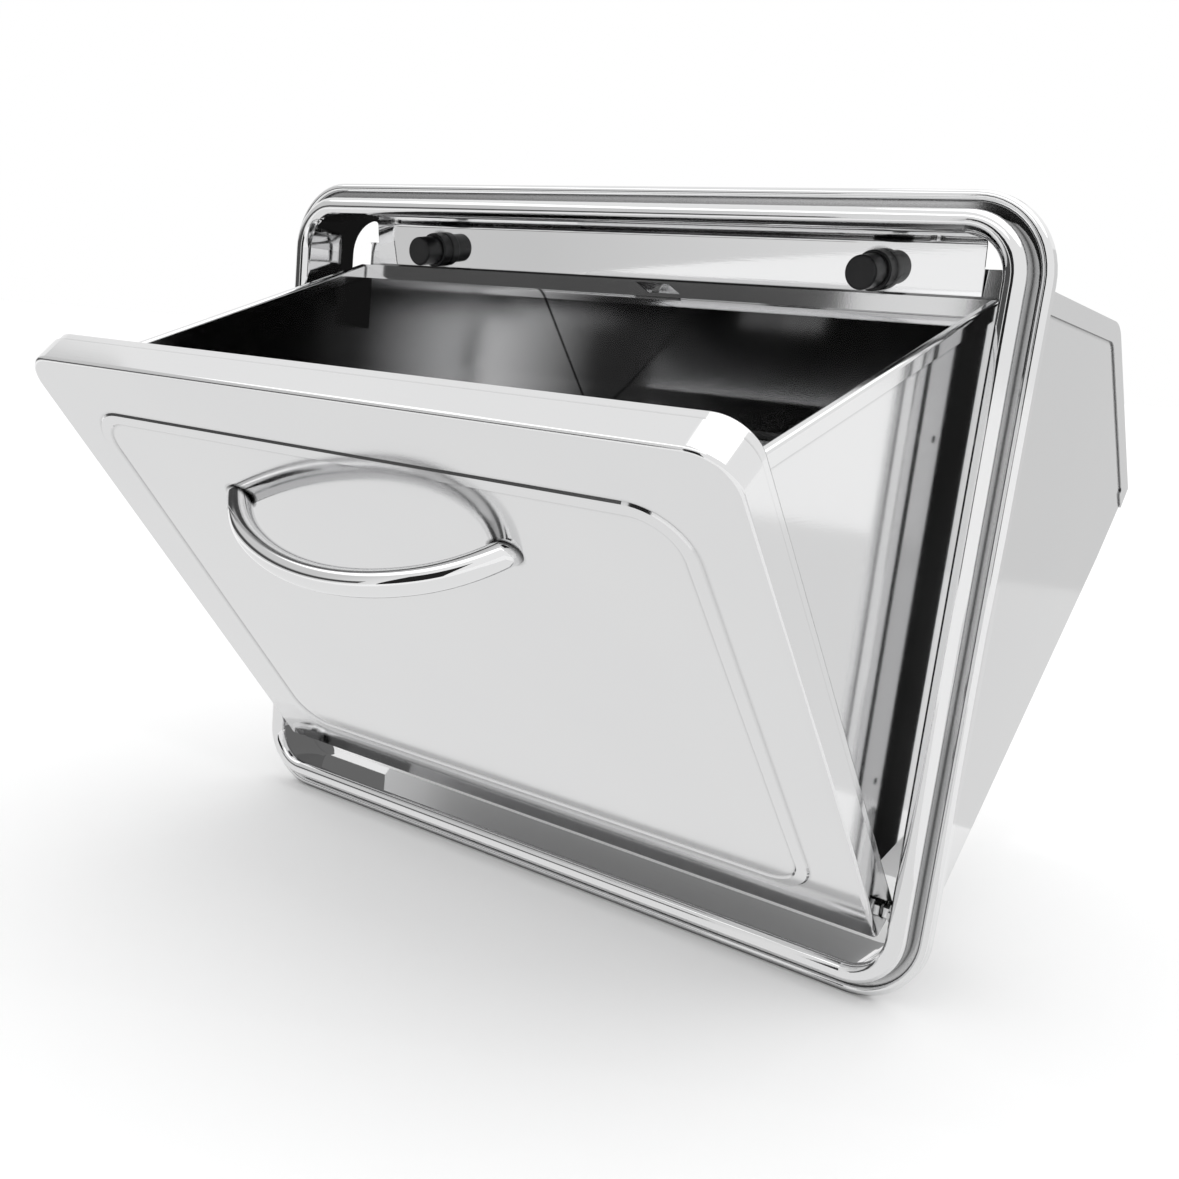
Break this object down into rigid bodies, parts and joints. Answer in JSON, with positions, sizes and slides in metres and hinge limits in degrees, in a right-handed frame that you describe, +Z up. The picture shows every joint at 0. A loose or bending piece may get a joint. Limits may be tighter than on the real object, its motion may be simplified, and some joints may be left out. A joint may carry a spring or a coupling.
{
  "type": "tilt-out waste hopper",
  "caption": "Built-in stainless waste hopper: a bullnose trim frame with a deep bin behind a door that tips forward on hinge studs.",
  "frame": {"origin": "middle of the trim's lower edge, on the plane of the cabinet's face", "axes": "+X across the front to the right, -Y out into the room, +Z up; the hopper stands tilted open"},
  "size_m": [0.56, 0.6066, 0.46],
  "materials": {
    "trim_steel": "polished stainless",
    "rail_steel": "mirror polished stainless",
    "door_steel": "polished stainless",
    "handle_steel": "mirror polished stainless",
    "bin_steel": "polished stainless",
    "hardware_steel": "bright stainless",
    "rubber": "matte black"
  },
  "bodies": {
    "frame": {"trim_frame": "trim_steel", "sleeve_band": "trim_steel", "bumper_rail": "rail_steel", "bumper_base_left": "rubber", "bumper_base_right": "rubber", "bumper_tip_left": "rubber", "bumper_tip_right": "rubber", "bumper_screws": "hardware_steel", "rail_screws": "hardware_steel", "hinge_stud_left": "hardware_steel", "hinge_stud_right": "hardware_steel", "hinge_nuts": "hardware_steel"},
    "hopper": {"door_skin": "door_steel", "door_liner": "door_steel", "handle_bar": "handle_steel", "handle_screws": "hardware_steel", "hinge_ear_left": "hardware_steel", "hinge_ear_right": "hardware_steel", "hinge_bush_left": "hardware_steel", "hinge_bush_right": "hardware_steel", "side_panel_left": "bin_steel", "side_panel_right": "bin_steel", "floor_panel": "bin_steel", "rear_cover": "bin_steel", "rim_left": "bin_steel", "rim_right": "bin_steel", "back_lip": "bin_steel", "stop_catch": "hardware_steel"}
  },
  "joints": [
    {"name": "hopper_tilt", "type": "hinge", "parent": "frame", "child": "hopper", "pos_m": [0, -0.008, 0.06], "axis": [1, 0, 0], "range_deg": [-41.2, 0]}
  ]
}
